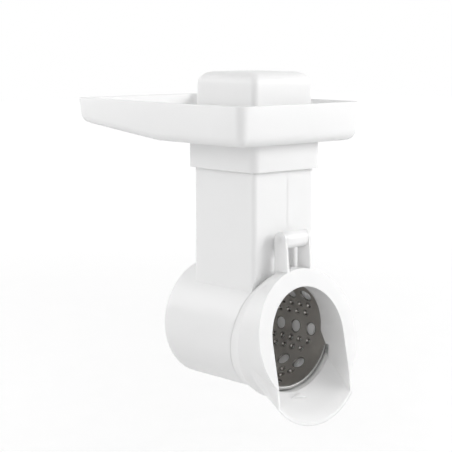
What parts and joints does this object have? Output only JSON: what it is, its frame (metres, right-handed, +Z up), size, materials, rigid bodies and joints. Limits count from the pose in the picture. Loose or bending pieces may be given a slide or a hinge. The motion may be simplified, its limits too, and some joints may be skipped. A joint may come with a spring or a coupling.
{
  "type": "stand mixer drum grater attachment",
  "caption": "Drum grater attachment for a stand mixer: food tray and feed tube over a barrel with a turning perforated drum, lift-out pusher and hinged outlet cover with a chute.",
  "frame": {"origin": "centre of the shoulder behind the mounting flange, on the drum's axis", "axes": "+Y along the drum's axis towards the mixer, +Z up the feed tube, +X to the right seen from the outlet"},
  "size_m": [0.1274, 0.2161, 0.263],
  "materials": {
    "white_plastic": "satin-gloss moulded white",
    "shank_plastic": "satin moulded white nylon",
    "hub_plastic": "satin moulded off-white",
    "drum_steel": "brushed stainless sheet",
    "hoop_steel": "polished rolled edge",
    "turned_steel": "turned steel",
    "spring_steel": "oiled spring steel",
    "bush_bronze": "sintered bronze",
    "black_rubber": "black nitrile"
  },
  "bodies": {
    "body": {"housing": "white_plastic", "shank_flange": "shank_plastic", "flange_screws": "turned_steel", "front_bush": "bush_bronze", "rear_bush": "bush_bronze", "shaft_seal": "black_rubber"},
    "rotor": {"drive_shaft": "turned_steel", "thrust_washer": "turned_steel", "retaining_clip": "spring_steel", "grip_ring": "black_rubber", "hub_insert": "turned_steel", "drum_hub": "hub_plastic", "drum_rivets": "turned_steel", "drum_shell": "drum_steel", "drum_hoop": "hoop_steel"},
    "cover": {"outlet_cover": "white_plastic", "hinge_pin": "turned_steel"},
    "hopper": {"tray": "white_plastic"},
    "pusher": {"pusher_shell": "white_plastic", "pusher_foot": "white_plastic"}
  },
  "joints": [
    {"name": "drum_spin", "type": "hinge", "parent": "body", "child": "rotor", "pos_m": [0, 0, 0], "axis": [0, 1, 0], "continuous": true},
    {"name": "cover_hinge", "type": "hinge", "parent": "body", "child": "cover", "pos_m": [0, -0.102, 0.0734], "axis": [-1, 0, 0], "range_deg": [0, 105]},
    {"name": "tray_lift", "type": "slide", "parent": "body", "child": "hopper", "axis": [0, 0, 1], "range_m": [0, 0.03]},
    {"name": "pusher_slide", "type": "slide", "parent": "hopper", "child": "pusher", "axis": [0, 0, 1], "range_m": [0, 0.115]}
  ]
}
